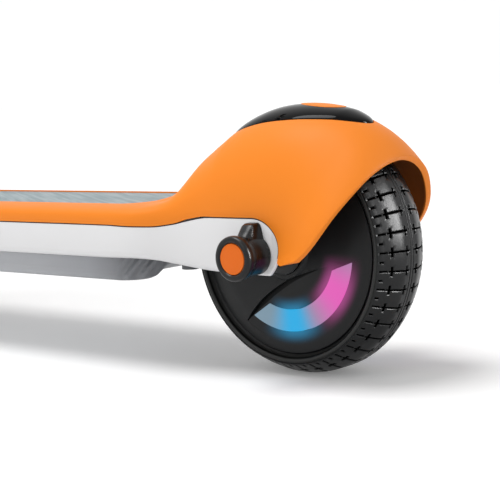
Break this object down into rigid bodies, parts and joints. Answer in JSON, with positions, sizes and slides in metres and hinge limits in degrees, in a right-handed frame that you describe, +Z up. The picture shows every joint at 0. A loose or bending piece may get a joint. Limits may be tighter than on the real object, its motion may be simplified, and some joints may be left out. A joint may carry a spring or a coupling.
{
  "type": "electric scooter",
  "caption": "Small folding electric scooter: orange deck and rear hood, white frame, foot brake over a lit hub motor wheel, telescopic stem",
  "frame": {"origin": "centre of the bounding box in plan, on the ground under the wheels", "axes": "+X points forward from the rear wheel to the front wheel, +Y to the rider's left, +Z up"},
  "size_m": [0.8351, 0.3896, 0.811],
  "materials": {
    "orange_plastic": "satin moulded plastic",
    "white_paint": "smooth satin paint",
    "black_plastic": "fine moulded texture",
    "gloss_black": "polished",
    "rubber": "dull moulded rubber",
    "grip_rubber": "soft ribbed rubber",
    "grey_plastic": "smooth satin",
    "deck_mat": "ribbed grip mat",
    "light_lens": "translucent diffuser, lit from behind",
    "steel": "machined",
    "aluminium": "satin anodised",
    "copper": "enamelled copper windings",
    "battery_wrap": "shrink wrap"
  },
  "bodies": {
    "frame": {"deck_cover": "orange_plastic", "grip_mat": "deck_mat", "chassis": "white_paint", "battery_cover": "grey_plastic", "tray_screw_rear": "steel", "tray_screw_front": "steel", "battery_pack": "battery_wrap", "motor_controller": "aluminium", "charge_port": "black_plastic", "motor_stator": "copper", "rear_axle": "steel", "axle_knob_rear_left": "black_plastic", "knob_disc_rear_left": "orange_plastic", "axle_knob_rear_right": "black_plastic", "knob_disc_rear_right": "orange_plastic", "headset_cup_lower": "steel", "headset_cup_upper": "steel", "stand_bracket": "black_plastic"},
    "rear_wheel": {"rear_tyre": "rubber", "motor_rotor": "steel", "rear_cover_left": "black_plastic", "light_guide_left": "light_lens", "rear_cover_right": "black_plastic", "light_guide_right": "light_lens", "rear_bearing_left": "steel", "rear_bearing_right": "steel"},
    "pedal": {"brake_pedal": "gloss_black", "pedal_inlay": "orange_plastic", "brake_shoe": "steel"},
    "stand": {"stand_leg": "aluminium"},
    "flap": {"charge_flap": "rubber"},
    "steering": {"fork": "white_paint", "front_axle": "steel", "axle_knob_front_left": "black_plastic", "knob_disc_front_left": "orange_plastic", "axle_knob_front_right": "black_plastic", "knob_disc_front_right": "orange_plastic", "front_fender": "orange_plastic", "hinge_bracket": "black_plastic", "hinge_pin": "steel"},
    "front_wheel": {"front_tyre": "rubber", "front_rim": "black_plastic", "front_bearing": "steel"},
    "stem": {"stem_tube": "white_paint", "clamp_skewer": "steel", "height_collar": "black_plastic", "collar_bolt": "steel"},
    "fold_clamp": {"fold_lever": "black_plastic"},
    "height_clamp": {"height_lever": "black_plastic"},
    "upper": {"slide_tube": "aluminium", "handlebar": "black_plastic", "grip_left": "grip_rubber", "grip_right": "grip_rubber", "display_housing": "black_plastic", "display_lens": "gloss_black", "throttle_housing": "black_plastic", "brake_lever_housing": "black_plastic"},
    "throttle": {"throttle_lever": "orange_plastic"},
    "brake": {"brake_lever": "black_plastic"},
    "button": {"power_button": "orange_plastic"}
  },
  "joints": [
    {"name": "rear_wheel_spin", "type": "hinge", "parent": "frame", "child": "rear_wheel", "pos_m": [-0.335, 0, 0.0825], "axis": [0, 1, 0], "continuous": true},
    {"name": "front_wheel_spin", "type": "hinge", "parent": "steering", "child": "front_wheel", "pos_m": [0.335, 0, 0.0825], "axis": [0, 1, 0], "continuous": true},
    {"name": "steer", "type": "hinge", "parent": "frame", "child": "steering", "pos_m": [0.335, 0, 0.0825], "axis": [-0.2079, 0, 0.9781], "range_deg": [-40, 40]},
    {"name": "fold", "type": "hinge", "parent": "steering", "child": "stem", "pos_m": [0.28801, 0, 0.30356], "axis": [0, -1, 0], "range_deg": [0, 86]},
    {"name": "height", "type": "slide", "parent": "stem", "child": "upper", "axis": [-0.2079, 0, 0.9781], "range_m": [0, 0.1]},
    {"name": "fold_clamp_lever", "type": "hinge", "parent": "stem", "child": "fold_clamp", "pos_m": [0.28302, 0.032, 0.32704], "axis": [-0.9781, 0, -0.2079], "range_deg": [0, 120]},
    {"name": "height_clamp_lever", "type": "hinge", "parent": "stem", "child": "height_clamp", "pos_m": [0.19263, 0.0173, 0.6176], "axis": [-0.2079, 0, 0.9781], "range_deg": [0, 110]},
    {"name": "thumb_throttle", "type": "hinge", "parent": "upper", "child": "throttle", "pos_m": [0.18842, 0, 0.77209], "axis": [0, -1, 0], "range_deg": [0, 45], "stiffness_Nm_per_rad": 0.2},
    {"name": "hand_brake", "type": "hinge", "parent": "upper", "child": "brake", "pos_m": [0.2119, 0.061, 0.77708], "axis": [-0.2079, 0, 0.9781], "range_deg": [0, 12], "stiffness_Nm_per_rad": 0.6},
    {"name": "power_press", "type": "slide", "parent": "upper", "child": "button", "axis": [0.2079, 0, -0.9781], "range_m": [0, 0.0015], "stiffness_N_per_m": 300},
    {"name": "foot_brake", "type": "hinge", "parent": "frame", "child": "pedal", "pos_m": [-0.28882, 0, 0.15362], "axis": [0, -1, 0], "range_deg": [0, 1.5], "stiffness_Nm_per_rad": 8},
    {"name": "side_stand", "type": "hinge", "parent": "frame", "child": "stand", "pos_m": [0.155, 0.062, 0.069], "axis": [0, 0.866, 0.5], "range_deg": [0, 90]},
    {"name": "charge_flap_hinge", "type": "hinge", "parent": "frame", "child": "flap", "pos_m": [0.095, -0.065, 0.0968], "axis": [-1, 0, 0], "range_deg": [0, 100]}
  ]
}
